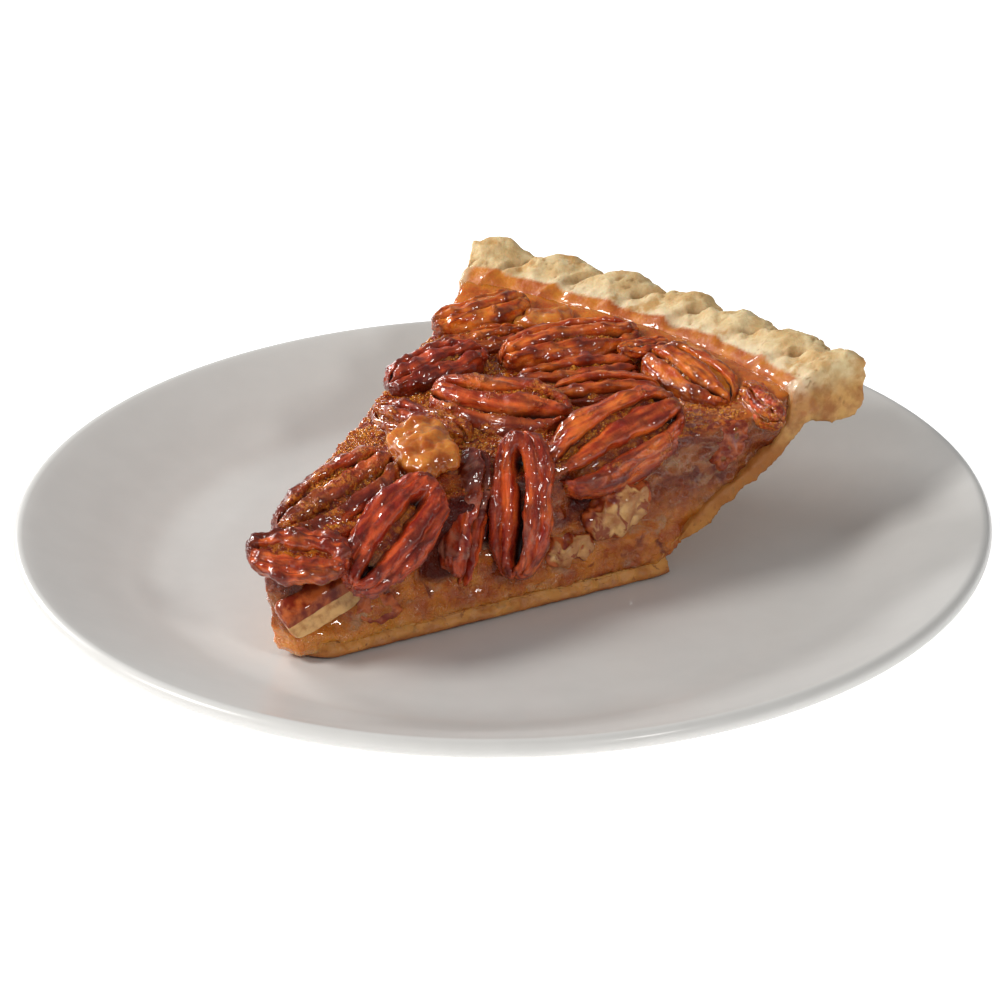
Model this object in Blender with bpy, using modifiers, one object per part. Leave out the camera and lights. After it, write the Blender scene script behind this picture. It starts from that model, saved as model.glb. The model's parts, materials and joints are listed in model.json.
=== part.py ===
"""Slice of pecan pie on a round dessert plate.

One eighth of a ten-inch pie lies on an eight-inch coupe plate. The slice is made the way a baker makes it:
a whole crust and a whole filling are turned about the pie's centre, pecan halves are laid on top and settle
until none overlaps another, and one wedge is cut out. Metres, +Z up. The origin is the middle of the plate's
foot, on the surface that the plate stands on. Inside the slice's own frame, which the empty "slice" carries,
+X runs from the tip along the centre line to the rim, +Y to the slice's left, and Z = 0 is the underside.
"""

import math

import bmesh
import bpy
import numpy as np
from mathutils import Euler, Matrix, Vector

MM = 0.001
TOUCH_GAP = 0.3 * MM  # what is left between two pieces that touch

# Plate: a flat well, a soft turn and a broad sloping rim with a rounded lip.
PLATE_RADIUS = 101.6 * MM
PLATE_HEIGHT = 17.0 * MM
PLATE_STEPS = 48
WELL_RADIUS = 66.0 * MM
WELL_TOP = 4.7 * MM
RIM_START = 78.0 * MM
RIM_START_TOP = 7.6 * MM
WALL = 3.7 * MM
FOOT_OUTER = 61.0 * MM
FOOT_WIDTH = 4.0 * MM
FOOT_HEIGHT = 1.0 * MM

# Slice: where its tip stands on the plate and which way it points.
TIP = Vector((-47.8 * MM, -44.9 * MM))
SLICE_TURN = math.radians(49.6)
CUT_LEFT = math.radians(21.8)  # the two cuts, measured from the centre line
CUT_RIGHT = math.radians(22.1)

# Crust: a pastry floor, a wall that leans out and a rolled, finger-crimped rim.
FLOOR_RADIUS = 91.5 * MM
WALL_TOP_RADIUS = 124.0 * MM
WALL_TOP = 27.0 * MM
FLOOR_THICK = 4.2 * MM
RIM_RADIUS = 139.0 * MM
RIM_TOP = 38.2 * MM
RIM_BOTTOM = 24.6 * MM
RIM_INNER_RADIUS = 121.5 * MM
CRIMPS = 52  # round the whole pie
CRIMP_PHASE = 0.19
CRIMP_SLANT = 0.045 / MM  # how much of a crimp the crease slips sideways for each unit outwards
STEPS_A_CRIMP = 5
CRIMP_HEIGHT = 2.6 * MM
CRIMP_DEPTH = 1.8 * MM
RIM_SAG = 1.8 * MM  # how much lower, and closer in, the rim lies at the middle of the slice than at its cuts
RIM_DRAWN_IN = 2.5 * MM
RIM_THINNED = 4.0 * MM  # how far the rim's inner edge is pushed back at the left-hand cut
CUT_LEAN = 0.088  # how far the soft right-hand cut has slumped outwards for each unit down from the cutter's top
CRUST_PROUD = 1.4 * MM  # how far the crust's right-hand cut stands out past the filling's

# Filling: the set syrup, up to just under the nuts' backs.
FILLING_TOP = 28.5 * MM
FILLING_EDGE_TOP = 33.0 * MM
FILLING_RIPPLE = 0.7 * MM
FILLING_STEPS = 64

FILLING_TIP = 2.2 * MM  # radius of the rounded tip
CRUST_TIP = 4.4 * MM
CUTTER_REACH = 160.0 * MM
CUTTER_HEIGHT = 48.0 * MM
CUTTER_BOTTOM = -2.0 * MM

# Pecan half: sizes as shares of its length. The same rounded box, a little larger, is the room that it needs.
NUT_WIDTH = 0.55
NUT_BACK = 0.18  # height of the ridged back above the middle plane
NUT_FACE = 0.12  # depth of the grooved face below it
NUT_ROUND = 2.3  # power of the superellipse: 2 is an ellipse, more is squarer
NUT_SECTION = ((1.0, 0.1), (0.80, 0.68), (0.38, 0.66), (0.0, 0.98), (-0.38, 0.66), (-0.80, 0.68), (-1.0, 0.1),
               (-0.58, -0.92), (0.0, -0.35), (0.58, -0.92))  # across and up: edge, three ridges, edge, face
NUT_STATIONS = (-0.86, -0.5, 0.0, 0.5, 0.86)
ROOM = 0.3 * MM


def mm(*values):
    return tuple(v * MM for v in values)


def collection(name):
    made = bpy.data.collections.new(name)
    bpy.context.scene.collection.children.link(made)
    return made


def material(name, colour, roughness, coat=0.0):
    made = bpy.data.materials.new(name)
    made.use_nodes = True
    shader = made.node_tree.nodes["Principled BSDF"]
    shader.inputs["Base Color"].default_value = (*colour, 1.0)
    shader.inputs["Roughness"].default_value = roughness
    shader.inputs["Metallic"].default_value = 0.0
    shader.inputs["Coat Weight"].default_value = coat
    made.diffuse_color = (*colour, 1.0)
    return made


def mesh_from(shape, name):
    mesh = bpy.data.meshes.new(name)
    shape.to_mesh(mesh)
    shape.free()
    return mesh


def mesh_object(name, mesh, home, parent=None, finish=None, hidden=False):
    made = bpy.data.objects.new(name, mesh)
    home.objects.link(made)
    made.parent = parent
    made.hide_render = hidden
    made.display_type = "WIRE" if hidden else "TEXTURED"
    if finish:
        mesh.materials.clear()
        mesh.materials.append(finish)
        mesh.shade_smooth()
        mesh.set_sharp_from_angle(angle=math.radians(50))
    return made


def evaluated_mesh(thing):
    """The object's shape with its modifiers applied, as a new mesh."""
    bpy.context.view_layer.update()
    graph = bpy.context.evaluated_depsgraph_get()
    return bpy.data.meshes.new_from_object(thing.evaluated_get(graph), depsgraph=graph)


def turned(name, profile, steps):
    """Mesh of a profile of (radius, height) points, outer side from top to bottom, turned about Z."""
    line = bpy.data.meshes.new(name + "_profile")
    points = [(r, 0.0, z) for r, z in profile]
    line.from_pydata(points, [(i, i + 1) for i in range(len(points) - 1)], [])
    maker = mesh_object(name + "_maker", line, bpy.context.scene.collection)
    screw = maker.modifiers.new("turn", "SCREW")
    screw.steps = screw.render_steps = steps
    screw.use_merge_vertices = True
    screw.merge_threshold = 0.00001
    made = evaluated_mesh(maker)
    bpy.data.objects.remove(maker)
    return made


def arc(centre, radius, start, end, count):
    """Points on a circular arc, from start to end in degrees."""
    angles = [math.radians(start + (end - start) * i / (count - 1)) for i in range(count)]
    return [(centre[0] + radius * math.cos(a), centre[1] + radius * math.sin(a)) for a in angles]


def boolean(thing, operation, cutter):
    """Cuts or keeps a shape with an object or a whole collection and leaves plain mesh behind."""
    step = thing.modifiers.new(operation.lower(), "BOOLEAN")
    step.operation = operation
    step.solver = "EXACT"
    if isinstance(cutter, bpy.types.Collection):
        step.operand_type = "COLLECTION"
        step.collection = cutter
    else:
        step.object = cutter
    shape = evaluated_mesh(thing)
    thing.modifiers.clear()
    old = thing.data
    thing.data = shape
    bpy.data.meshes.remove(old)


def largest_body(mesh):
    """Drops the slivers that a cut leaves loose, so that one closed body stays."""
    shape = bmesh.new()
    shape.from_mesh(mesh)
    waiting = set(shape.verts)
    groups = []
    while waiting:
        front = [waiting.pop()]
        group = set(front)
        while front:
            for edge in front.pop().link_edges:
                for vertex in edge.verts:
                    if vertex in waiting:
                        waiting.remove(vertex)
                        group.add(vertex)
                        front.append(vertex)
        groups.append(group)
    keep = max(groups, key=len)
    bmesh.ops.delete(shape, geom=[v for v in shape.verts if v not in keep], context="VERTS")
    bmesh.ops.triangulate(shape, faces=shape.faces)
    bmesh.ops.recalc_face_normals(shape, faces=shape.faces)
    shape.to_mesh(mesh)
    shape.free()


# ---------------------------------------------------------------------------------------------- plate


def make_plate(home):
    """White stoneware: flat well, soft turn, sloping rim, round lip and a low foot ring."""
    lip = WALL / 2
    lip_centre = (PLATE_RADIUS - lip, PLATE_HEIGHT - lip)
    rim_under = RIM_START_TOP - WALL
    foot_inner = FOOT_OUTER - FOOT_WIDTH
    profile = [(0.0, WELL_TOP), (WELL_RADIUS / 2, WELL_TOP), (WELL_RADIUS, WELL_TOP)]
    profile += [(WELL_RADIUS + (RIM_START - WELL_RADIUS) * t, WELL_TOP + (RIM_START_TOP - WELL_TOP) * t**1.8)
                for t in (0.3, 0.6, 1.0)]
    profile += [(RIM_START + 12 * MM, RIM_START_TOP + 4.9 * MM)]
    profile += arc(lip_centre, lip, 115, -65, 6)
    profile += [(RIM_START + 4 * MM, rim_under + 0.6 * MM), (FOOT_OUTER + 3 * MM, FOOT_HEIGHT + 0.4 * MM),
                (FOOT_OUTER, 0.0), (foot_inner, 0.0), (foot_inner - 0.8 * MM, FOOT_HEIGHT), (0.0, FOOT_HEIGHT)]
    mesh = turned("plate", profile, PLATE_STEPS)
    return mesh_object("plate", mesh, home, finish=material("stoneware", (0.80, 0.79, 0.77), 0.18, 0.6))


# ------------------------------------------------------------------------------------- pie and its cut


def thinned(angle):
    """Share of RIM_THINNED at that angle: none up to 8 degrees left of the centre line, all of it at the cut."""
    return min(1.0, max(0.0, (math.degrees(angle) - 8) / 13)) ** 1.5


def crimp(radius, height, angle):
    """Moves a point of the rolled rim: pillows that spring up at a slanting crease and sink to the next one."""
    weight = min(1.0, max(0.0, (height - RIM_BOTTOM) / (RIM_TOP - RIM_BOTTOM)))
    outwards = (radius - RIM_INNER_RADIUS) / (RIM_RADIUS - RIM_INNER_RADIUS)
    slip = CRIMP_SLANT * (radius - RIM_INNER_RADIUS)
    phase = (CRIMP_PHASE + angle * CRIMPS / (2 * math.pi) + slip) % 1.0
    pillow = math.sin(math.pi * (1 - phase) ** 0.7) - 0.55
    middle = max(0.0, 1 - (angle / CUT_RIGHT) ** 2)
    radius += weight * CRIMP_DEPTH * pillow * (0.35 + outwards) - RIM_DRAWN_IN * outwards * middle
    radius += weight * RIM_THINNED * thinned(angle) * max(0.0, 1 - outwards)
    return radius, height + weight * (CRIMP_HEIGHT * pillow - RIM_SAG * middle)


def make_crust(home, parent):
    """The whole baked shell: floor, leaning wall and crimped rim, before the wedge is cut."""
    profile = [(0.0, FLOOR_THICK), (45 * MM, FLOOR_THICK), (FLOOR_RADIUS - 4 * MM, FLOOR_THICK),
               (100 * MM, 13.5 * MM), (110 * MM, 19.0 * MM), (118 * MM, 24.5 * MM), (120.5 * MM, 30.0 * MM),
               (RIM_INNER_RADIUS, 34.4 * MM), (126 * MM, 36.4 * MM), (131 * MM, RIM_TOP), (135 * MM, RIM_TOP)]
    profile += [(138 * MM, 36.4 * MM), (RIM_RADIUS, 33.0 * MM), (138.6 * MM, 28.6 * MM), (136 * MM, 25.4 * MM),
                (132 * MM, RIM_BOTTOM), (128 * MM, 25.8 * MM), (WALL_TOP_RADIUS, 26.0 * MM)]
    profile += [(116.5 * MM, 19.0 * MM), (104.5 * MM, 12.4 * MM), (95 * MM, 5.0 * MM), (FLOOR_RADIUS, 0.0),
                (45 * MM, 0.0), (0.0, 0.0)]
    mesh = turned("crust", profile, CRIMPS * STEPS_A_CRIMP)
    for vertex in mesh.vertices:
        x, y, z = vertex.co
        radius, angle = math.hypot(x, y), math.atan2(y, x)
        if radius > RIM_INNER_RADIUS - 0.1 * MM and z > RIM_BOTTOM:
            radius, z = crimp(radius, z, angle)
            vertex.co = (radius * math.cos(angle), radius * math.sin(angle), z)
    return mesh_object("crust", mesh, home, parent, material("baked_pastry", (0.62, 0.42, 0.20), 0.75))


def make_filling(home, parent):
    """The whole set filling, inside the shell with the touching gap left all round."""
    clear = 3 * TOUCH_GAP
    profile = [(0.0, FILLING_TOP)]
    profile += [(r * MM, FILLING_TOP) for r in (20, 40, 60, 80, 98)]
    profile += [(112 * MM, FILLING_TOP + 1.4 * MM), (119.6 * MM, FILLING_EDGE_TOP)]
    profile += [(120.3 * MM - clear, 30.0 * MM), (118 * MM - clear, 24.5 * MM), (110 * MM - clear, 19.0 * MM),
                (100 * MM - clear, 13.5 * MM), (FLOOR_RADIUS - 4 * MM - clear, FLOOR_THICK + TOUCH_GAP),
                (45 * MM, FLOOR_THICK + TOUCH_GAP), (0.0, FLOOR_THICK + TOUCH_GAP)]
    mesh = turned("filling", profile, FILLING_STEPS)
    for vertex in mesh.vertices:
        x, y, z = vertex.co
        if z > FILLING_TOP - TOUCH_GAP and math.hypot(x, y) < 105 * MM:
            vertex.co.z += FILLING_RIPPLE * math.sin(x / (7 * MM)) * math.cos(y / (6 * MM))
        if z > FILLING_EDGE_TOP - TOUCH_GAP:
            reach = 1 + 0.6 * RIM_THINNED * thinned(math.atan2(y, x)) / math.hypot(x, y)
            vertex.co.x, vertex.co.y = x * reach, y * reach
    return mesh_object("filling", mesh, home, parent, material("set_syrup", (0.40, 0.17, 0.045), 0.15, 0.8))


def make_wedge(name, home, parent, tip_radius, proud):
    """Cutter for one slice: a wedge with a rounded tip, its right side leaning out and pushed out by proud."""
    start = tip_radius / math.sin((CUT_LEFT + CUT_RIGHT) / 2)
    tip = arc((start, 0.0), tip_radius, 90 + math.degrees(CUT_LEFT), 270 - math.degrees(CUT_RIGHT), 6)
    tip[-1] = (tip[-1][0], tip[-1][1] - proud)
    right_side = -CUTTER_REACH * math.tan(CUT_RIGHT) - proud / math.cos(CUT_RIGHT)
    outline = [(CUTTER_REACH, CUTTER_REACH * math.tan(CUT_LEFT)), *tip, (CUTTER_REACH, right_side)]
    flat = bpy.data.curves.new(name, "CURVE")
    flat.dimensions = "2D"
    flat.fill_mode = "BOTH"
    flat.extrude = CUTTER_HEIGHT / 2
    spline = flat.splines.new("POLY")
    spline.points.add(len(outline) - 1)
    for point, (x, y) in zip(spline.points, outline):
        point.co = (x, y, 0.0, 1.0)
    spline.use_cyclic_u = True
    maker = bpy.data.objects.new(name + "_maker", flat)
    bpy.context.scene.collection.objects.link(maker)
    shape = bmesh.new()
    shape.from_mesh(evaluated_mesh(maker))
    bpy.data.objects.remove(maker)
    bmesh.ops.remove_doubles(shape, verts=shape.verts, dist=0.00001)
    for vertex in shape.verts:
        vertex.co.z += CUTTER_BOTTOM + CUTTER_HEIGHT / 2
        if vertex.co.y < 0:
            vertex.co.y -= CUT_LEAN * (CUTTER_BOTTOM + CUTTER_HEIGHT - vertex.co.z)
    bmesh.ops.recalc_face_normals(shape, faces=shape.faces)
    return mesh_object(name, mesh_from(shape, name), home, parent, hidden=True)


# --------------------------------------------------------------------------------------------- pecans

# Where each pecan half lies before it settles, in the slice's frame: millimetres along, to the left and up for
# its middle; degrees of heading from the centre line, pitch of its far end and roll about its own length
# (180 shows the grooved face); its length in millimetres; and its breadth, where 1 is the usual one.
HALVES = (
    (23.5, 0, 27.5, -9, 14, 15, 30, 1.0),
    (22.5, -14.8, 25, 3, 25, -140, 30, 0.9),
    (4, -6.5, 25, -55, -4, -150, 20, 1.1),
    (58, 6.5, 29, -88, 0, 15, 24, 0.9),
    (53, -21.4, 22.5, 33, 60, 170, 30, 0.8),
    (46, -14, 21, 25, 52, 70, 29, 0.9),
    (72, -3, 29.5, -69, -2, 25, 30, 1.0),
    (79, 22.5, 30.5, -14, 3, 5, 24, 0.95),
    (104, 5.5, 31, -29, 0, 10, 31, 0.8),
    (101, -5, 30, -36, 0, 35, 26, 0.75),
    (96, -15, 30, -45, 1, 35, 25, 0.7),
    (75, -27, 28, -13, 12, 42, 33, 1.0),
    (107, -24, 31, -101, -6, 10, 25, 1.05),
    (109, -37, 31, -112, -6, 60, 15, 0.9),
    (106, 31, 32, -24, 3, 0, 22, 0.9),
    (97, 25, 30, -30, 3, 10, 20, 0.8),
)

# Broken bits as large as a berry, the same values for each: four on the top, then five in the right-hand cut.
BITS = (
    (45, -5, 30.5, -120, -4, 10, 19, 1.15),
    (107, -10, 31.5, -24, -4, 0, 12, 1.0),
    (112, 19, 32, -37, 0, 0, 13, 1.0),
    (78, -15, 26.5, -45, -10, 0, 11, 1.2),
    (9.5, -6.5, 12.5, -24, 22, 40, 17, 1.0),
    (20.5, -11.6, 8.5, -22, -20, 80, 10, 1.0),
    (73, -31.8, 17, -22, 18, 75, 15, 1.0),
    (62, -28.2, 11, -22, 10, 80, 10, 1.0),
    (98, -41.3, 25.5, -22, 55, 80, 10, 1.0),
)


def nut_mesh(name, length, breadth):
    """One pecan half along X with its ridged back up: a section ring repeated along it and closed at both ends."""
    shape = bmesh.new()
    rings = []
    for station in NUT_STATIONS:
        girth = (1 - abs(station) ** NUT_ROUND) ** (1 / NUT_ROUND)
        width = girth * breadth * NUT_WIDTH / 2
        ring = [(station / 2, width * across, girth * up * (NUT_BACK if up > 0 else NUT_FACE))
                for across, up in NUT_SECTION]
        rings.append([shape.verts.new(Vector(point) * length) for point in ring])
    for one, other in zip(rings, rings[1:]):
        for i in range(len(one)):
            shape.faces.new((one[i - 1], one[i], other[i], other[i - 1]))
    for ring, end in ((rings[0], -0.5), (rings[-1], 0.5)):
        pole = shape.verts.new((end * length, 0.0, 0.2 * (NUT_BACK - NUT_FACE) * length))
        for i in range(len(ring)):
            shape.faces.new((ring[i - 1], ring[i], pole))
    bmesh.ops.triangulate(shape, faces=shape.faces)
    bmesh.ops.recalc_face_normals(shape, faces=shape.faces)
    return mesh_from(shape, name)


class Nut:
    """A pecan piece, its pose, and the rounded box round it that neighbours and the filling keep out of."""

    def __init__(self, name, row):
        along, left, up, heading, pitch, roll, length, breadth = row
        self.name = name
        self.length = length * MM
        self.place = np.array(mm(along, left, up))
        turn = Euler((math.radians(roll), -math.radians(pitch), math.radians(heading)), "XYZ")
        self.turn = np.array(turn.to_matrix())
        self.mesh = nut_mesh(name, self.length, breadth)
        self.points = np.array([v.co for v in self.mesh.vertices])
        self.half = np.array([0.5, breadth * NUT_WIDTH / 2, (NUT_BACK + NUT_FACE) / 2]) * self.length + ROOM
        self.middle = np.array([0.0, 0.0, (NUT_BACK - NUT_FACE) / 2]) * self.length

    def world_points(self):
        return self.points @ self.turn.T + self.place

    def deepest(self, points):
        """How far, in metres, the deepest of the points lies inside the rounded box; negative when none is in it."""
        inside = np.abs(((points - self.place) @ self.turn - self.middle) / self.half) ** NUT_ROUND
        return float((1.0 - inside.sum(axis=1) ** (1 / NUT_ROUND)).max() * self.half.min())

    def matrix(self):
        return Matrix.Translation(self.place) @ Matrix(self.turn.tolist()).to_4x4()


def settle(nuts, rounds=600, share=0.35):
    """Pushes pieces that meet apart little by little, and keeps them inside the rim and near the left-hand cut."""
    left_cut = np.array([-math.sin(CUT_LEFT), math.cos(CUT_LEFT), 0.0])
    for _ in range(rounds):
        moves = [np.zeros(3) for _ in nuts]
        worst = 0.0
        for i, one in enumerate(nuts):
            points = one.world_points()
            for j, other in enumerate(nuts):
                away = one.place - other.place
                reach = np.linalg.norm(away)
                if i == j or reach > (one.length + other.length) / 2:
                    continue
                depth = other.deepest(points)
                if depth > 0:
                    worst = max(worst, depth)
                    moves[i] += away / reach * depth * share
                    moves[j] -= away / reach * depth * share
            outside = np.hypot(points[:, 0], points[:, 1]).max() - (RIM_INNER_RADIUS - 3.5 * MM)
            moves[i][:2] -= one.place[:2] / np.linalg.norm(one.place[:2]) * max(0.0, outside) * share
            moves[i] -= left_cut * max(0.0, (points @ left_cut).max() - 4.5 * MM) * share
        for nut, move in zip(nuts, moves):
            nut.place = nut.place + move
        if worst < 0.02 * MM:
            break


def make_nuts(home, parent):
    nuts = [Nut(f"pecan_{i + 1:02d}", row) for i, row in enumerate(HALVES)]
    nuts += [Nut(f"pecan_bit_{i + 1:02d}", row) for i, row in enumerate(BITS)]
    settle(nuts)
    skin = material("pecan_skin", (0.28, 0.07, 0.02), 0.25, 0.8)
    for nut in nuts:
        mesh_object(nut.name, nut.mesh, home, parent, skin).matrix_local = nut.matrix()
    return nuts


def make_pocket(nut, home, parent):
    """Cutter for the pocket that one nut sits in: its rounded box, as a sphere squared up."""
    shape = bmesh.new()
    bmesh.ops.create_uvsphere(shape, u_segments=10, v_segments=6, radius=1.0)
    for vertex in shape.verts:
        power = sum(abs(c) ** NUT_ROUND for c in vertex.co) ** (-1 / NUT_ROUND)
        across, up, along = vertex.co * power * 1.07
        vertex.co = (along * nut.half[0], across * nut.half[1], nut.middle[2] + up * nut.half[2])
    made = mesh_object(nut.name + "_pocket", mesh_from(shape, nut.name + "_pocket"), home, parent, hidden=True)
    made.matrix_local = nut.matrix()


# ------------------------------------------------------------------------------------------- assembly


def main():
    for old in list(bpy.data.objects):
        bpy.data.objects.remove(old)
    parts = collection("pecan_pie_slice")
    cutters = collection("cutters")
    pockets = collection("pockets")
    make_plate(parts)
    slice_frame = bpy.data.objects.new("slice", None)
    parts.objects.link(slice_frame)
    slice_frame.location = (TIP.x, TIP.y, WELL_TOP + TOUCH_GAP)
    slice_frame.rotation_euler.z = SLICE_TURN
    bpy.context.view_layer.update()
    crust = make_crust(parts, slice_frame)
    boolean(crust, "INTERSECT", make_wedge("crust_wedge", cutters, slice_frame, CRUST_TIP, CRUST_PROUD))
    filling = make_filling(parts, slice_frame)
    boolean(filling, "INTERSECT", make_wedge("filling_wedge", cutters, slice_frame, FILLING_TIP, 0.0))
    for nut in make_nuts(parts, slice_frame):
        make_pocket(nut, pockets, slice_frame)
    boolean(filling, "DIFFERENCE", pockets)
    for cut in (crust, filling):
        largest_body(cut.data)


main()
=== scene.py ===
"""Slice of pecan pie on its plate: the look of every piece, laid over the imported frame."""

import json
import math

import bmesh
import bpy
import numpy as np
from mathutils import Matrix, Vector, noise
from mathutils.bvhtree import BVHTree

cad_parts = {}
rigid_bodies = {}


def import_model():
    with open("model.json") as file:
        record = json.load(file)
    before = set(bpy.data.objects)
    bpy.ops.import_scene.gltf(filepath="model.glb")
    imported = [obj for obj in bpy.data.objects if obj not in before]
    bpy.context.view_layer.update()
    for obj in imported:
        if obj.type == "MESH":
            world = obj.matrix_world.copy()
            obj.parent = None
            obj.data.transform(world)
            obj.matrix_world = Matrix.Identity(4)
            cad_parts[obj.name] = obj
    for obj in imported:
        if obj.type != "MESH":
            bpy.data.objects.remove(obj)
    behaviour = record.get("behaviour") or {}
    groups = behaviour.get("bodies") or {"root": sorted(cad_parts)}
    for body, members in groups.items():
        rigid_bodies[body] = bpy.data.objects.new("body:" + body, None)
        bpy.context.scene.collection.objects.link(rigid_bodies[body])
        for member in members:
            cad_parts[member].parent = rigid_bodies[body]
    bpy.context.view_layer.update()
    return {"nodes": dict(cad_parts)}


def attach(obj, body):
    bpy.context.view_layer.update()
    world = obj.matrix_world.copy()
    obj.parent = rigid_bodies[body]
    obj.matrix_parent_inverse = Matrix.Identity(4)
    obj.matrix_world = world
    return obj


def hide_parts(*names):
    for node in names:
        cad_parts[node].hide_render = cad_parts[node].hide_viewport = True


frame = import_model()

# ------------------------------------------------------------------------------------------------ plate
# An eight-inch coupe plate of white stoneware, dipped in a clear glossy glaze and fired. It is thrown as one
# piece: flat well, soft turn, sloping rim, round lip, and a low unglazed foot ring that it stands on.

MM = 0.001
PLATE_RADIUS = 101.55 * MM
PLATE_HEIGHT = 17.0 * MM
WELL_TOP = 4.7 * MM
PLATE_TURNS = 288


def mesh_of(name, points, faces):
    """New object of the given points and faces, shaded smooth."""
    mesh = bpy.data.meshes.new(name)
    mesh.from_pydata([tuple(p) for p in points], [], [tuple(f) for f in faces])
    mesh.shade_smooth()
    piece = bpy.data.objects.new(name, mesh)
    bpy.context.scene.collection.objects.link(piece)
    return piece


def baked_down(piece):
    """Applies the piece's modifiers to its mesh."""
    bpy.context.view_layer.update()
    shape = bpy.data.meshes.new_from_object(piece.evaluated_get(bpy.context.evaluated_depsgraph_get()))
    piece.modifiers.clear()
    piece.data = shape
    shape.shade_smooth()
    return piece


def round_corner(centre, radius, start, end, count):
    return [(centre[0] + radius * math.cos(math.radians(start + (end - start) * i / (count - 1))),
             centre[1] + radius * math.sin(math.radians(start + (end - start) * i / (count - 1))))
            for i in range(count)]


def eased(points, count):
    """A smooth curve of count points through a few (radius, height) points."""
    knots = np.array(points)
    at = np.concatenate([[0], np.cumsum(np.linalg.norm(np.diff(knots, axis=0), axis=1))])
    slopes = np.gradient(knots, at, axis=0)
    made = []
    for s in np.linspace(0, at[-1], count):
        i = min(len(at) - 2, int(np.searchsorted(at, s, side="right")) - 1)
        h = at[i + 1] - at[i]
        t = (s - at[i]) / h
        made.append(tuple((2 * t**3 - 3 * t**2 + 1) * knots[i] + (t**3 - 2 * t**2 + t) * h * slopes[i]
                          + (3 * t**2 - 2 * t**3) * knots[i + 1] + (t**3 - t**2) * h * slopes[i + 1]))
    return made


lip = 1.85 * MM
lip_centre = (PLATE_RADIUS - lip, PLATE_HEIGHT - lip)
inside = eased([(0, WELL_TOP), (30 * MM, WELL_TOP), (60 * MM, WELL_TOP), (66 * MM, WELL_TOP + 0.1 * MM),
                (72 * MM, WELL_TOP + 0.9 * MM), (78 * MM, 7.7 * MM), (88 * MM, 12.0 * MM),
                (97.5 * MM, PLATE_HEIGHT - 0.75 * MM)], 90)
outside = eased([(100.6 * MM, PLATE_HEIGHT - 3.4 * MM), (92 * MM, 9.6 * MM), (80 * MM, 4.6 * MM), (70 * MM, 2.3 * MM),
                 (63 * MM, 1.0 * MM)], 40)
foot = [(61.3 * MM, 0.5 * MM), (60.6 * MM, 0.0), (57.6 * MM, 0.0), (56.8 * MM, 0.5 * MM), (55.5 * MM, 1.0 * MM),
        (28 * MM, 1.1 * MM), (0, 1.1 * MM)]
profile = inside + round_corner(lip_centre, lip, 112, -60, 16) + outside + foot
plate = mesh_of("plate_glazed", [(r, 0, z) for r, z in profile], [])
plate.data.clear_geometry()
plate.data.from_pydata([(r, 0, z) for r, z in profile], [(i, i + 1) for i in range(len(profile) - 1)], [])
spin = plate.modifiers.new("turn", "SCREW")
spin.steps = spin.render_steps = PLATE_TURNS
spin.use_merge_vertices = True
spin.merge_threshold = 0.00001
baked_down(plate)


class Flow:
    """A value, vector or colour on its way through a finish. Arithmetic on it adds Math nodes."""

    def __init__(self, tree, socket=None):
        self.tree, self.socket = tree, socket

    def node(self, kind, settings=None, sockets=None, out=0):
        """Adds a node, sets its settings, then fills or links its sockets. Gives one of its outputs."""
        made = self.tree.nodes.new("ShaderNode" + kind)
        for name, value in (settings or {}).items():
            if name == "stops":
                while len(made.color_ramp.elements) < len(value):
                    made.color_ramp.elements.new(0.5)
                for element, (place, colour) in zip(made.color_ramp.elements, value):
                    element.position, element.color = place, (*colour, 1.0)
            else:
                setattr(made, name, value)
        for name, value in (sockets or {}).items():
            socket = made.inputs[name]
            if isinstance(value, Flow):
                self.tree.links.new(value.socket, socket)
            elif socket.type == "RGBA" and len(value) == 3:
                socket.default_value = (*value, 1.0)
            else:
                socket.default_value = value
        return Flow(self.tree, made.outputs[out])

    def math(self, operation, *values):
        return self.node("Math", {"operation": operation}, dict(enumerate(values)))

    def __add__(self, other):
        return self.math("ADD", self, other)

    __radd__ = __add__

    def __sub__(self, other):
        return self.math("SUBTRACT", self, other)

    def __rsub__(self, other):
        return self.math("SUBTRACT", other, self)

    def __mul__(self, other):
        return self.math("MULTIPLY", self, other)

    __rmul__ = __mul__

    def __truediv__(self, other):
        return self.math("DIVIDE", self, other)

    def __pow__(self, other):
        return self.math("POWER", self, other)

    def between(self, low, high):
        """0 below low, 1 above high, smooth between."""
        return self.node("MapRange", {"interpolation_type": "SMOOTHSTEP"},
                         {"Value": self, "From Min": low, "From Max": high})

    def over(self, under, top):
        """The colour under where this mask is 0 and top where it is 1."""
        return self.node("Mix", {"data_type": "RGBA"}, {"Factor": self, 6: under, 7: top}, 2)

    def stretched(self, x, y, z):
        return self.node("VectorMath", {"operation": "MULTIPLY"}, {0: self, 1: (x, y, z)})

    def fuzz(self, size, detail=4.0, roughness=0.55, warp=0.0):
        """Noise around 0.5 whose lumps are about size metres across."""
        return self.node("TexNoise", {}, {"Vector": self, "Scale": 1 / size, "Detail": detail,
                                          "Roughness": roughness, "Distortion": warp})


def finish(name, **steady):
    """A new finish with its steady values set on the shader itself. Gives a start for flows and the shader."""
    made = bpy.data.materials.new(name)
    made.use_nodes = True
    shader = made.node_tree.nodes["Principled BSDF"]
    for socket, value in steady.items():
        socket = socket.replace("_", " ")
        shader.inputs[socket].default_value = (*value, 1.0) if socket == "Base Color" else value
    return made, Flow(made.node_tree), shader


def feed(flow, shader, socket):
    flow.tree.links.new(flow.socket, shader.inputs[socket])


def wear(piece, made, node):
    piece.data.materials.clear()
    piece.data.materials.append(made)
    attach(piece, "root")
    if node:
        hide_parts(node)


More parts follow.
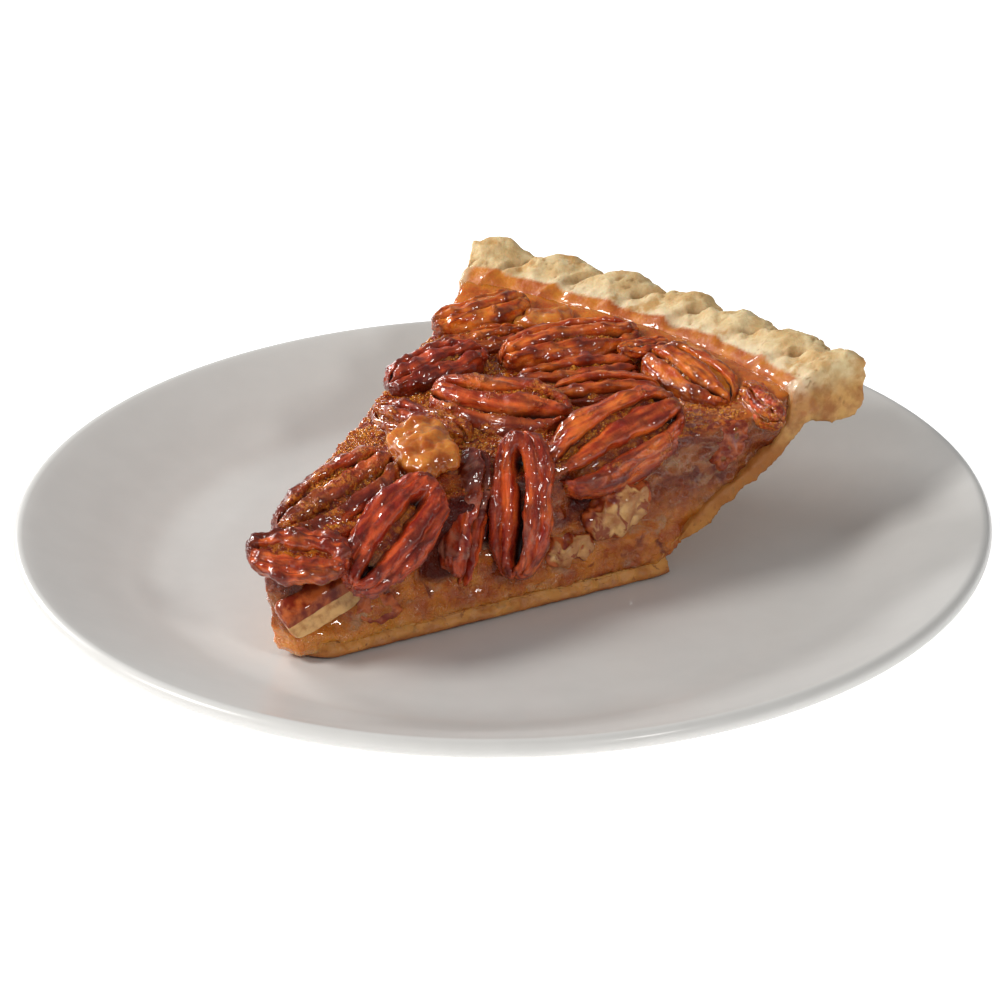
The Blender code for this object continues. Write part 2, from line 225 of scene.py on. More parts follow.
glaze, flow, shader = finish("plate glaze", Base_Color=(0.72, 0.71, 0.69), Roughness=0.36, IOR=1.45,
                             Specular_IOR_Level=0.35, Coat_Weight=0.35, Coat_Roughness=0.18)
place = flow.node("TexCoord", out="Object")
feed(place.fuzz(9 * MM, 2).between(0.3, 0.7).over((0.70, 0.688, 0.665), (0.72, 0.708, 0.685)), shader, "Base Color")
feed(flow.node("Bump", {}, {"Strength": 0.06, "Distance": 0.0004, "Height": place.fuzz(14 * MM, 1)}), shader, "Normal")
wear(plate, glaze, "plate")

# --------------------------------------------------------------------------------------------- pastry
# The shell is shortcrust: a thin floor, a leaning wall, and a rim rolled under and pinched by hand into slanting
# pillows. The oven dries the rim pale and cracked, and browns the wall and the rolled underside.

TIP = Vector((-47.8 * MM, -44.9 * MM, WELL_TOP + 0.3 * MM))
TURN = math.radians(49.6)
to_slice = Matrix.Translation(TIP) @ Matrix.Rotation(TURN, 4, "Z")
to_slice_back = np.array(to_slice.inverted())
RIM_INSIDE = 121.5 * MM


def slice_place(points):
    """World points as columns along the slice, to its left, and up from its underside."""
    return points @ to_slice_back[:3, :3].T + to_slice_back[:3, 3]


def points_of(mesh):
    flat = np.empty(len(mesh.vertices) * 3)
    mesh.vertices.foreach_get("co", flat)
    return flat.reshape(-1, 3)


def normals_of(mesh):
    flat = np.empty(len(mesh.vertices) * 3)
    mesh.vertex_normals.foreach_get("vector", flat)
    return flat.reshape(-1, 3)


def set_points(mesh, points):
    mesh.vertices.foreach_set("co", np.asarray(points, dtype=np.float32).ravel())
    mesh.update()


def rough(points, size, octaves=3, seed=0.0):
    """Fractal noise for each point, about -1 to 1, with lumps of about size metres."""
    return np.array([noise.fractal(Vector(p) / size + Vector((seed, seed * 0.7, -seed)), 0.6, 2.0, octaves)
                     for p in points])


def ramp(values, low, high):
    """0 below low, 1 above high, smooth between, for each value."""
    share = np.clip((values - low) / (high - low), 0, 1)
    return share * share * (3 - 2 * share)


def hump(values, width):
    return np.exp(-(values / width) ** 2)


def remembered(piece, name, values):
    """Stores one value a point on the piece for its finish to read."""
    layer = piece.data.attributes.new(name, "FLOAT", "POINT")
    layer.data.foreach_set("value", np.asarray(values, dtype=np.float32))


def remeshed(name, sources, voxel, smoothing=0):
    """One closed skin round copies of the sources."""
    joined = bmesh.new()
    for source in sources:
        joined.from_mesh(source)
    piece = mesh_of(name, [], [])
    joined.to_mesh(piece.data)
    joined.free()
    skin = piece.modifiers.new("skin", "REMESH")
    skin.mode = "VOXEL"
    skin.voxel_size = voxel
    if smoothing:
        soften = piece.modifiers.new("soften", "SMOOTH")
        soften.factor = 0.5
        soften.iterations = smoothing
    return baked_down(piece)


pastry = remeshed("pastry_shell", [frame["nodes"]["crust"].data], 0.7 * MM, 4)
points, normals = points_of(pastry.data), normals_of(pastry.data)
local = slice_place(points)
radius, angle = np.hypot(local[:, 0], local[:, 1]), np.arctan2(local[:, 1], local[:, 0])
rim = ramp(radius, 118 * MM, 124 * MM) * ramp(local[:, 2], 25 * MM, 31 * MM)
slip = 0.045 * (radius - RIM_INSIDE) / MM
phase = (0.19 + angle * 52 / (2 * math.pi) + slip + 0.10 * rough(local * [1, 1, 0], 16 * MM, 1, 8.1)) % 1.0
pillow = np.sin(math.pi * (1 - phase) ** 0.7) - 0.55
uneven = rough(local * [1, 1, 0], 13 * MM, 2, 3.3)
pressed = rim * (0.8 * (1 - ramp(radius, 125 * MM, 133 * MM)) + 0.9 * np.clip(uneven, -0.4, 0.7))
points[:, 2] -= pressed * pillow * 2.6 * MM
crease = hump((phase + 0.5) % 1.0 - 0.5, 0.06) * ramp(radius, 124 * MM, 129 * MM)
lumps = rough(points, 5.5 * MM, 3, 1.3)
crumb = rough(points, 1.5 * MM, 3, 5.1)
flakes = rough(points * [1, 1, 2.4], 3.4 * MM, 3, 9.7)
cracks = hump(flakes, 0.055) * ramp(rough(points, 8 * MM, 2, 6.1), -0.05, 0.3)
ends = ramp(np.abs(angle + math.radians(0.35)), math.radians(21.0), math.radians(21.8))
left_end = np.clip((np.degrees(angle) - 8) / 13, 0, 1) ** 1.5
stain = (radius / MM - 4.0 * left_end) + 0.40 * (local[:, 2] / MM - 34) + 0.9 * rough(points, 9 * MM, 2, 4.4)
rim *= ramp(stain, 123.0, 125.5)
push = (0.25 + 0.45 * rim) * lumps + (0.08 + 0.06 * ends) * crumb - 0.32 * rim * cracks - 1.4 * rim * crease
push += 0.50 * ends * rough(points, 3.6 * MM, 2, 2.9) - 0.5 * rim * hump(pillow + 0.45, 0.12) * ramp(radius, 128 * MM, 131 * MM)
right_cut = ramp(-angle, math.radians(20.5), math.radians(21.8)) * (1 - ramp(radius, 92 * MM, 100 * MM))
push -= 1.4 * right_cut * ramp(local[:, 2] + 1.1 * MM * rough(points, 5 * MM, 3, 7.3), 1.5 * MM, 3.2 * MM)
push -= 1.5 * hump(local[:, 0] / MM - 87, 3.5) * ramp(-angle, 0.30, 0.36) * (1 - ramp(local[:, 2], 3 * MM, 6 * MM))
push = np.where(local[:, 2] < 0.8 * MM, np.minimum(push, 0) * 0.4, push)
heel = hump(local[:, 0] / MM - 88, 5) * ramp(-angle, 0.30, 0.36) * (1 - ramp(local[:, 2], 4 * MM, 9 * MM))
inward = np.array([-math.sin(TURN) - 0.5 * math.cos(TURN), math.cos(TURN) - 0.5 * math.sin(TURN), 0.0])
set_points(pastry.data, points + normals * push[:, None] * MM + 1.9 * MM * heel[:, None] * inward)
# The crack mask holds the rim's cracks and pinch creases; the finish darkens them in colour as painted shade.
remembered(pastry, "crack", np.clip(cracks + crease, 0, 1))
remembered(pastry, "rim", rim)
remembered(pastry, "inside", ramp(radius, 121 * MM, 129 * MM))
remembered(pastry, "height", local[:, 2] / MM)
remembered(pastry, "ends", ends)
remembered(pastry, "glazed", 1 - ramp(stain, 123.9, 124.8))

shortcrust, flow, shader = finish("shortcrust", Roughness=0.72, IOR=1.4, Subsurface_Weight=0.15,
                                  Subsurface_Scale=0.002)
place = flow.node("TexCoord", out="Object")
height = flow.node("Attribute", {"attribute_name": "height"}, out="Fac")
inside = flow.node("Attribute", {"attribute_name": "inside"}, out="Fac")
crack = flow.node("Attribute", {"attribute_name": "crack"}, out="Fac")
on_rim = flow.node("Attribute", {"attribute_name": "rim"}, out="Fac")
cut_end = flow.node("Attribute", {"attribute_name": "ends"}, out="Fac")
soaked = (height + 2.5 * place.fuzz(4 * MM, 3)).between(1.5, 3.4).over((0.36, 0.11, 0.025), (0.66, 0.29, 0.068))
soaked = place.fuzz(6 * MM, 4).between(0.45, 0.65).over(soaked, (0.48, 0.17, 0.035))
soaked = place.fuzz(1.8 * MM, 4, 0.65).between(0.58, 0.68).over(soaked, (0.34, 0.11, 0.03))
soaked = (0.75 * (height + 4 * place.fuzz(4 * MM, 3)).between(9.0, 16.0)).over(soaked, (0.44, 0.155, 0.030))
toasted = place.fuzz(3.5 * MM, 4).between(0.35, 0.7).over((0.72, 0.40, 0.13), (0.42, 0.16, 0.045))
dough = place.fuzz(4.5 * MM, 4).between(0.36, 0.66).over((0.68, 0.45, 0.20), (0.84, 0.66, 0.37))
dough = (1 - inside).over(dough, (0.90, 0.77, 0.54))
dough = place.fuzz(7 * MM, 5, 0.62).between(0.52, 0.68).over(dough, (0.60, 0.34, 0.12))
crown = (height + 7 * place.fuzz(5 * MM) + 4 * (cut_end * -1)).between(30.0, 35.0)
colour = height.between(20.0, 27.0).over(soaked, crown.over(toasted, dough))
# Painted shade: the cracks and pinch creases of the rim are darkened in colour.
colour = (0.75 * crack).over(colour, (0.36, 0.17, 0.055))
glazed = flow.node("Attribute", {"attribute_name": "glazed"}, out="Fac") * height.between(27.0, 29.0) * (1 - 0.7 * cut_end)
colour = glazed.over(colour, place.fuzz(5 * MM, 3).between(0.35, 0.65).over((0.50, 0.105, 0.006), (0.70, 0.225, 0.014)))
feed(colour, shader, "Base Color")
feed(0.74 - 0.34 * (1 - on_rim) * cut_end - 0.3 * glazed, shader, "Roughness")
feed(glazed, shader, "Coat Weight")
grain = place.fuzz(0.8 * MM, 4) + 1.2 * place.fuzz(2.2 * MM, 4, 0.65)
feed(flow.node("Bump", {}, {"Strength": 0.42, "Distance": 0.0005, "Height": grain}), shader, "Normal")
wear(pastry, shortcrust, "crust")

# --------------------------------------------------------------------------------------------- syrup
# The filling is sugar syrup, butter and egg, baked until it sets: clear amber brown at the bottom, cloudy where the
# egg has gathered under the nuts, and a smooth amber band next to the rim where no nut lies. It climbs up each nut.
# On the cut, the darker red just under the nuts towards the tip and the near-black cavity are painted shade.

pecans = sorted(name for name in frame["nodes"] if name.startswith("pecan"))


# The right-hand cut: the way it faces, and a point on it.
CUT_SIDE = TURN - math.radians(22.1) - math.pi / 2
cut_out = np.array([math.cos(CUT_SIDE), math.sin(CUT_SIDE), 0.088])
cut_out /= np.linalg.norm(cut_out)
cut_edge = np.array(to_slice @ Vector((0, 0, 41 * MM)))
OPEN_SIDE_OUT = ("pecan_02", "pecan_05", "pecan_06")


def shrunk(mesh, share):
    copy = mesh.copy()
    points = points_of(copy)
    middle = points.mean(axis=0)
    set_points(copy, middle + (points - middle) * share)
    return copy


def wedge_body():
    """The filling before it is softened: the slice's own section swept from cut to cut, slumped at the right-hand
    cut, with no pockets. It reaches into the floor of the shell, so that no gap shows."""
    body = bmesh.new()
    section = [(3, 1.0), (60, 1.0), (86.3, 1.0), (99.5, 11.0), (109.5, 17.5), (117.6, 23.6), (120.6, 30.0),
               (122.0, 33.4), (119.4, 33.2), (112, 30.6), (98, 29.4), (60, 29.2), (24, 28.2), (3, 24.5)]
    rings = []
    for angle in np.linspace(math.radians(-22.1), math.radians(21.5), 17):
        left, right = max(0.0, math.degrees(angle) - 8) / 13, math.degrees(angle) / -22.1
        ring = []
        for r, z in section:
            r += 4.5 * left ** 1.5 * max(0.0, min(1.0, (z - 28) / 5)) * max(0.0, min(1.0, (r - 100) / 18))
            lean = (0.088 * (41 - z) + 0.4) * max(0.0, right) ** 3
            spot = Vector((r * math.cos(angle), r * math.sin(angle) - lean, z)) * MM
            ring.append(body.verts.new(to_slice @ spot))
        rings.append(ring)
    for one, other in zip(rings, rings[1:]):
        for i in range(len(section)):
            body.faces.new((one[i - 1], one[i], other[i], other[i - 1]))
    body.faces.new(reversed(rings[-1]))
    body.faces.new(rings[0])
    bmesh.ops.recalc_face_normals(body, faces=body.faces)
    mesh = bpy.data.meshes.new("wedge")
    body.to_mesh(mesh)
    body.free()
    return mesh


syrup = remeshed("set_syrup", [wedge_body()] + [shrunk(frame["nodes"][n].data, 0.6 if n in OPEN_SIDE_OUT else 0.88)
                                             for n in pecans], 0.7 * MM, 9)
points, normals = points_of(syrup.data), normals_of(syrup.data)
local = slice_place(points)
radius, angle = np.hypot(local[:, 0], local[:, 1]), np.arctan2(local[:, 1], local[:, 0])
top = ramp(normals[:, 2], 0.25, 0.7) * ramp(local[:, 2], 20 * MM, 24 * MM)
band = ramp(radius, 109 * MM, 114 * MM)
blisters = hump(rough(points, 3.4 * MM, 2, 12.2) - 0.62, 0.16)
push = top * (1 - band) * (0.6 * rough(points, 5 * MM, 3, 2.2) + 0.3 * rough(points, 1.2 * MM, 2, 4.4))
push += top * band * 0.3 * rough(points, 8 * MM, 2, 3.1)
push += (1 - top) * (0.9 * rough(points * [1, 1, 1.5], 9 * MM, 2, 7.7) + 0.38 * rough(points, 2.2 * MM, 2, 8.8)
                     + 0.5 * blisters)
along, up = local[:, 0] / MM, local[:, 2] / MM
right_side = ramp(-angle, math.radians(10), math.radians(16))
hollow = hump((along - 37 - 0.2 * (up - 18)) / 5.5, 1) * ramp(up, 8, 13)
hollow += 0.9 * hump((along - 48) / 6, 1) * ramp(up, 13, 18)
hollow += 0.7 * hump(np.hypot(along - 66, up - 20), 3.5)
hollow += 0.34 * ramp(along, -4, 0) * (1 - ramp(along, 13, 16)) * ramp(up, 5, 8) * (1 - ramp(up, 17, 20))
hollow = np.clip(hollow, 0, 1) * np.maximum(right_side, 1 - ramp(along, 13, 20))
push = np.where(local[:, 2] < 2.5 * MM, np.minimum(push, 0), push)
behind = (cut_edge - points) @ cut_out / MM
points = points + normals * push[:, None] * MM
points -= (4.4 * hollow * (1 - ramp(behind, 0, 9)))[:, None] * MM * cut_out
points[:, 2] -= 2.6 * MM * hollow * ramp(up, 22, 29) * (1 - ramp(behind, 3, 10))
tuck = np.clip(1 - local[:, 2] / (9 * MM), 0, 1) * np.clip(1 - local[:, 0] / (14 * MM), 0, 1) * 2.5 * MM
points[:, 0] += tuck * math.cos(TURN)
points[:, 1] += tuck * math.sin(TURN)
set_points(syrup.data, points)
remembered(syrup, "height", local[:, 2] / MM)
remembered(syrup, "radius", radius / MM)
remembered(syrup, "top", top)
remembered(syrup, "hollow", hollow)
remembered(syrup, "along", along)

set_syrup, flow, shader = finish("set syrup", Roughness=0.15, IOR=1.45, Specular_IOR_Level=0.22, Subsurface_Weight=0.5,
                                 Subsurface_Scale=0.006, Coat_Roughness=0.04)
shader.inputs["Subsurface Radius"].default_value = (1.0, 0.35, 0.1)
place = flow.node("TexCoord", out="Object")
height = flow.node("Attribute", {"attribute_name": "height"}, out="Fac")
radius_in = flow.node("Attribute", {"attribute_name": "radius"}, out="Fac")
facing_up = flow.node("Attribute", {"attribute_name": "top"}, out="Fac")
streak = place.stretched(1, 1, 1.8).fuzz(9 * MM, 4, 0.55, 0.4)
hollow = flow.node("Attribute", {"attribute_name": "hollow"}, out="Fac")
along = flow.node("Attribute", {"attribute_name": "along"}, out="Fac")
clear = place.fuzz(5 * MM, 4).between(0.3, 0.7).over((0.42, 0.076, 0.007), (0.71, 0.23, 0.025))
cloudy = streak.between(0.40, 0.60).over((0.22, 0.034, 0.006), (0.40, 0.120, 0.030))
# Painted shade: towards the tip, the top of the cut just under the nuts is coloured a darker red.
shade_under_nuts = place.fuzz(4 * MM, 4).between(0.36, 0.64).over((0.14, 0.010, 0.003), (0.38, 0.075, 0.009))
cloudy = (along + 14 * place.fuzz(6 * MM, 3)).between(78.0, 86.0).over(shade_under_nuts, cloudy)
smears = place.fuzz(7 * MM, 4, 0.55, 0.4).between(0.56, 0.66)
cut_colour = (height + 16 * streak).between(19.0, 27.0).over(clear, cloudy)
cut_colour = (0.85 * smears).over(cut_colour, (0.15, 0.014, 0.004))
golden = (height + 0.13 * along + 6 * place.fuzz(7 * MM, 3)).between(8.5, 14.0)
cut_colour = golden.over((0.74, 0.25, 0.032), cut_colour)
# Pale pinkish patches on the cut: cloudy syrup, with painted sheen in their colour.
cloudy_and_sheen = place.stretched(1, 1, 1.6).fuzz(8 * MM, 4, 0.55, 0.5).between(0.57, 0.68)
cut_colour = (0.55 * cloudy_and_sheen).over(cut_colour, (0.52, 0.29, 0.16))
# Painted shade: the cavity in the cut is coloured near black.
cut_colour = (0.95 * hollow.between(0.15, 0.6)).over(cut_colour, (0.09, 0.006, 0.003))
amber = place.fuzz(6 * MM, 3).between(0.35, 0.65).over((0.46, 0.088, 0.007), (0.67, 0.185, 0.013))
froth = place.fuzz(1.6 * MM, 4).between(0.38, 0.70).over((0.26, 0.020, 0.003), (0.86, 0.23, 0.015))
top_colour = radius_in.between(108.0, 112.0).over(froth, amber)
# Painted shade: the top is darkened in colour over the cavity.
top_colour = (0.6 * hollow.between(0.2, 0.7)).over(top_colour, (0.30, 0.05, 0.01))
feed(facing_up.over(cut_colour, top_colour), shader, "Base Color")
fine = facing_up * (1 - radius_in.between(108.0, 112.0)) * place.fuzz(0.5 * MM, 3) * 1.6 + place.fuzz(2.5 * MM, 3)
fine = fine + 2.2 * (1 - facing_up) * place.fuzz(1.5 * MM, 3, 0.6, 0.8)
feed(flow.node("Bump", {}, {"Strength": 0.8, "Distance": 0.0008, "Height": fine}), shader, "Normal")
feed(0.85 + 0.15 * facing_up - 0.6 * hollow, shader, "Coat Weight")
wear(syrup, set_syrup, "filling")

# --------------------------------------------------------------------------------------------- pecans
# Halves of shelled pecans: a back of three ridges with two deep furrows between them, finely wrinkled, and a face
# with a ring round a deep slot. They are laid on the syrup before baking and come out glazed, dark red to orange.

NUT_BACK = 0.178
NUT_FACE = 0.112


def lay_of(name):
    """How the nut of that node lies: its middle, its axes as columns, its length and its breadth."""
    points = np.unique(points_of(frame["nodes"][name].data).round(7), axis=0)
    middle = points.mean(axis=0)
    _, _, axes = np.linalg.svd(points - middle)
    spread = (points - middle) @ axes.T
    low, high = spread.min(axis=0), spread.max(axis=0)
    if axes[0] @ np.array([math.cos(TURN), math.sin(TURN), 0.0]) < 0:
        axes[0] *= -1
    if low[2] + high[2] > 0:
        axes[2] *= -1
    axes[1] = np.cross(axes[2], axes[0])
    spread = (points - middle) @ axes.T
    low, high = spread.min(axis=0), spread.max(axis=0)
    length = high[0] - low[0]
    middle = middle + axes[0] * (low[0] + high[0]) / 2 + axes[1] * (low[1] + high[1]) / 2
    middle = middle + axes[2] * (high[2] - NUT_BACK * length)
    return middle, axes.T, length, high[1] - low[1]


def round_grid(along_steps, around_steps):
    """Station from -1 to 1 and angle for each point of a closed body's rings, its two ends last, and its faces."""
    station = np.sin(np.linspace(-1, 1, along_steps + 2)[1:-1] * math.pi / 2)
    turn = np.arange(around_steps) * 2 * math.pi / around_steps
    stations, turns = np.repeat(station, around_steps), np.tile(turn, along_steps)
    stations, turns = np.append(stations, (-1.0, 1.0)), np.append(turns, (0.0, 0.0))
    faces = []
    for i in range(along_steps - 1):
        for j in range(around_steps):
            k = (j + 1) % around_steps
            faces.append((i * around_steps + j, (i + 1) * around_steps + j, (i + 1) * around_steps + k,
                          i * around_steps + k))
    first, last = along_steps * around_steps, along_steps * around_steps + 1
    for j in range(around_steps):
        k = (j + 1) % around_steps
        faces.append((first, j, k))
        faces.append((last, (along_steps - 1) * around_steps + k, (along_steps - 1) * around_steps + j))
    return stations, turns, faces


def half_shape(station, turn, length, breadth, seed):
    """Points of a pecan half in its own axes, and how deep in a furrow or in the slot each one lies."""
    girth = np.clip(1 - np.abs(station) ** 2.4, 0, 1) ** (1 / 2.4) * (1 + 0.07 * station)
    girth = girth * (1 + 0.035 * np.sin(5 * station + seed))
    across, up = np.cos(turn), np.sin(turn)
    y = np.sign(across) * np.abs(across) ** 0.88
    back = up > 0
    centre = 0.05 * np.sin(3 * station + seed * 2.1)
    furrow_at = 0.37 + 0.035 * np.sin(3.7 * station + seed * 3.3)
    furrow_wide = 0.095 + 0.03 * np.sin(2.9 * station + seed)
    furrow = hump(np.abs(y - centre) - furrow_at, furrow_wide) * back
    slot = hump(y - centre, 0.15) * ramp(station, -1.0, -0.7) * (1 - ramp(station, 0.5, 0.85)) * ~back
    fold = hump(np.abs(y - centre) - 0.66, 0.12) * ~back
    rise = np.where(back, NUT_BACK * np.abs(up) ** 0.85, -NUT_FACE * np.abs(up) ** 0.75)
    rise = rise * (1 - 0.66 * furrow) * (1 - 1.6 * slot) * (1 - 0.3 * fold)
    x = station * (1 - 0.05 * hump(np.abs(y - centre) - furrow_at, 0.12) * np.abs(station) ** 5)
    shape = np.stack([x / 2, y * girth * breadth / length / 2, rise * np.sqrt(girth)], axis=-1) * length
    return shape, np.clip(furrow + slot, 0, 1)


# How each half came out of the oven: how red it is, how much sugar froth sits on it, how much pale pinkish-grey film
# lies over it (cloudy syrup smeared by the knife, with painted sheen in its colour), and how gnarled it is.
BAKED = {
    "pecan_01": (0.60, 0.50, 0.1, 1.1), "pecan_02": (0.95, 0.05, 0.3, 0.9), "pecan_03": (0.60, 0.15, 0.1, 2.0),
    "pecan_04": (0.75, 0.60, 0.0, 1.5), "pecan_05": (0.75, 0.10, 0.3, 1.0), "pecan_06": (1.00, 0.20, 0.4, 1.2),
    "pecan_07": (0.60, 0.45, 0.0, 1.0), "pecan_08": (0.90, 0.20, 0.0, 1.6), "pecan_09": (0.45, 0.20, 0.0, 0.9),
    "pecan_10": (0.50, 0.20, 0.0, 1.2), "pecan_11": (0.50, 0.25, 0.0, 0.9), "pecan_12": (0.60, 0.35, 0.1, 1.0),
    "pecan_13": (0.25, 0.05, 0.0, 0.9), "pecan_14": (0.95, 0.62, 0.2, 1.5), "pecan_15": (0.15, 0.25, 0.0, 1.0),
    "pecan_16": (0.20, 0.35, 0.0, 1.4), "pecan_bit_02": (0.4, 0.2, 0.0, 1.5), "pecan_bit_04": (0.8, 0.2, 0.0, 1.3),
}


def make_nut(name, seed, along_steps, around_steps):
    middle, axes, length, breadth = lay_of(name)
    if name == "pecan_06":  # a narrow sliver, half sunk beside its neighbour
        breadth = 0.66 * breadth
        middle = middle + np.array([math.cos(TURN), math.sin(TURN), 0.0]) * 2.4 * MM
    station, turn, faces = round_grid(along_steps, around_steps)
    shape, deep = half_shape(station, turn, length, breadth, seed)
    piece = mesh_of(name + "_half", shape, faces)
    normals = normals_of(piece.data)
    scale = length / 0.03
    red, froth, film, gnarl = BAKED.get(name, (0.5, 0.3, 0.0, 1.0))
    folds = rough(shape, 5.0 * MM * scale, 2, seed + 20)
    grooves = hump(rough(shape * [0.2, 1, 1], 2.3 * MM, 2, seed), 0.14)
    cross = hump(rough(shape * [1, 0.45, 0.45], 2.4 * MM, 2, seed + 3), 0.12)
    grain = rough(shape * [0.6, 1, 1], 1.0 * MM, 3, seed + 7)
    push = 0.72 * gnarl * folds - (0.30 * grooves + 0.06 * cross) * (1 - deep) + 0.20 * grain
    own = shape / scale
    shape = shape + normals * push[:, None] * MM * scale
    shape[:, 1] -= 0.05 * length * ((2 * shape[:, 0] / length) ** 2 - 0.33) * math.sin(seed * 5.3)
    place = middle + shape @ axes.T
    set_points(piece.data, place)
    spot = slice_place(place)
    in_cut = ramp(-np.degrees(np.arctan2(spot[:, 1], spot[:, 0])), 17.0, 20.0)
    # Painted shade: this mask darkens the lower part of the nut near the syrup, except in the cut.
    remembered(piece, "sunk", (1 - ramp(spot[:, 2], 29.0 * MM, 34.5 * MM)) * (1 - in_cut))
    # The next three masks also carry painted shade: the finish darkens the nut's pits, furrows, slot and grooves with
    # them.
    remembered(piece, "pit", ramp(-push, 0.05, 0.65))
    remembered(piece, "deep", deep)
    remembered(piece, "groove", np.clip(grooves + 0.2 * cross, 0, 1) * (1 - deep))
    layer = piece.data.attributes.new("own", "FLOAT_VECTOR", "POINT")
    layer.data.foreach_set("vector", (own + seed).astype(np.float32).ravel())
    for label, value in (("red", red), ("froth", froth), ("film", film)):
        remembered(piece, label, np.full(len(shape), value))
    return piece


skin, flow, shader = finish("glazed pecan skin", Roughness=0.3, IOR=1.45, Specular_IOR_Level=0.2,
                            Subsurface_Weight=0.22, Subsurface_Scale=0.003, Coat_Weight=1.0, Coat_Roughness=0.04)
shader.inputs["Subsurface Radius"].default_value = (1.0, 0.2, 0.07)
place = flow.node("TexCoord", out="Object")
own = flow.node("Attribute", {"attribute_name": "own"}, out="Vector")
deep, groove, red, froth, film, sunk, pit = (flow.node("Attribute", {"attribute_name": name}, out="Fac")
                                             for name in ("deep", "groove", "red", "froth", "film", "sunk", "pit"))
streaks = own.stretched(0.22, 1, 1).fuzz(1.6 * MM, 3, 0.5)
blush = streaks.between(0.34, 0.66)
amber_skin = blush.over((0.60, 0.080, 0.007), (0.95, 0.27, 0.028))
red_skin = blush.over((0.32, 0.018, 0.007), (0.80, 0.115, 0.026))
colour = (red + 0.9 * place.fuzz(7 * MM, 2) - 0.45).between(0.15, 0.85).over(amber_skin, red_skin)
# Painted shade: pits, wrinkle grooves, furrows and the slot are darkened in colour, the furrows and slot to near black.
colour = (pit * 0.7).over(colour, (0.13, 0.010, 0.004))
colour = (groove * 0.6).over(colour, (0.10, 0.009, 0.004))
# Painted shade: the lower part of the nut, near the syrup, is darkened in colour.
colour = (sunk * 0.8 * (0.6 + place.fuzz(3 * MM, 3))).over(colour, (0.12, 0.012, 0.004))
colour = deep.between(0.2, 0.75).over(colour, (0.030, 0.004, 0.002))
frothy = (froth + 1.5 * place.fuzz(6 * MM, 3) + 0.3 * place.fuzz(1.2 * MM, 2)).between(1.38, 1.62)
sugar = place.fuzz(0.8 * MM, 3).between(0.38, 0.62).over((0.42, 0.045, 0.005), (0.94, 0.30, 0.03))
colour = (frothy * 0.75).over(colour, sugar)
# Pale pinkish-grey film over the nut: cloudy syrup smeared by the knife, with painted sheen in its colour.
smear_and_sheen_mask = (film + 1.2 * place.fuzz(7 * MM, 4, 0.6, 1.0)).between(1.0, 1.2) * (1 - deep.between(0.1, 0.5))
colour = (smear_and_sheen_mask * 0.7).over(colour, (0.50, 0.20, 0.13))
feed(colour, shader, "Base Color")
bumps = (0.35 * streaks + 0.5 * place.fuzz(1.2 * MM, 3)) * (1 - 0.6 * smear_and_sheen_mask) + frothy * 1.8 * place.fuzz(0.45 * MM, 3)
feed(flow.node("Bump", {}, {"Strength": 0.9, "Distance": 0.0007, "Height": bumps}), shader, "Normal")

broken = [name for name in pecans if name in ("pecan_bit_01", "pecan_bit_03", "pecan_bit_05", "pecan_bit_06",
                                              "pecan_bit_07", "pecan_bit_08", "pecan_bit_09")]
for count, name in enumerate(pecans):
    if name not in broken:
        wear(make_nut(name, 1.0 + 0.77 * count, *((54, 60) if "bit" in name else (90, 100))), skin, name)

# --------------------------------------------------------------------------------------------- broken bits
# Chopped pecan and lumps of set syrup. The knife went through those in the right-hand cut, so they show a flat cream
# face under a rind of brown skin; the two on top are smooth amber.

# How boxy each bit is, how deep its cracks are in millimetres, how much cream flesh it shows, and how far it stands
# out of the cut in millimetres.
CHOPPED = {
    "pecan_bit_01": (3.0, 0.35, 0.0, None), "pecan_bit_03": (2.2, 0.2, 0.0, None),
    "pecan_bit_05": (5.0, 0.0, 0.9, 2.2), "pecan_bit_06": (2.6, 0.5, 0.0, 0.8), "pecan_bit_07": (2.2, 0.9, 0.8, 1.9),
    "pecan_bit_08": (2.2, 0.9, 0.9, 1.7), "pecan_bit_09": (2.2, 0.7, 0.25, 1.3),
}


def make_chunk(name, seed):
    boxy, crack_depth, cream, stand = CHOPPED[name]
    middle, axes, length, breadth = lay_of(name)
    station, turn, faces = round_grid(60, 72)
    girth = np.clip(1 - np.abs(station) ** boxy, 0, 1) ** (1 / boxy)
    across, up = np.cos(turn), np.sin(turn)
    squared = (np.abs(across) ** boxy + np.abs(up) ** boxy) ** (-1 / boxy)
    shape = np.stack([station * length / 2, across * squared * girth * breadth / 2,
                      up * squared * girth * length * 0.15 + 0.03 * length], axis=-1)
    piece = mesh_of(name + "_chopped", shape, faces)
    normals = normals_of(piece.data)
    cells = [noise.voronoi(Vector(p) / (3.4 * MM) + Vector((seed, 0, 0)))[0] for p in shape]
    crack = hump(np.array([c[1] - c[0] for c in cells]), 0.2)
    push = -crack_depth * crack + (1.0 if boxy < 4 else 0.25) * rough(shape, 3.6 * MM, 2, seed) + 0.08 * rough(shape, 1.4 * MM, 2, seed)
    place = middle + (shape + normals * push[:, None] * MM) @ axes.T
    flesh = np.zeros(len(place))
    if stand is not None:
        flat = 0.95 if boxy > 4 else 0.5
        beyond = (place - cut_edge) @ cut_out - (stand + (1 - flat) * rough(place, 4 * MM, 2, seed)) * MM
        place = place - flat * np.clip(beyond, 0, None)[:, None] * cut_out
        flesh = cream * ramp(beyond, -0.9 * MM, 0.5 * MM)
        if name == "pecan_bit_05":
            spot = slice_place(place)
            flesh = ramp(beyond, -1.5 * MM, -0.5 * MM) * (1 - ramp(spot[:, 2] - 0.38 * spot[:, 0], 8.8 * MM, 9.2 * MM))
    set_points(piece.data, place)
    remembered(piece, "flesh", flesh)
    remembered(piece, "crack", crack if crack_depth else crack * 0 - 1.5)
    return piece


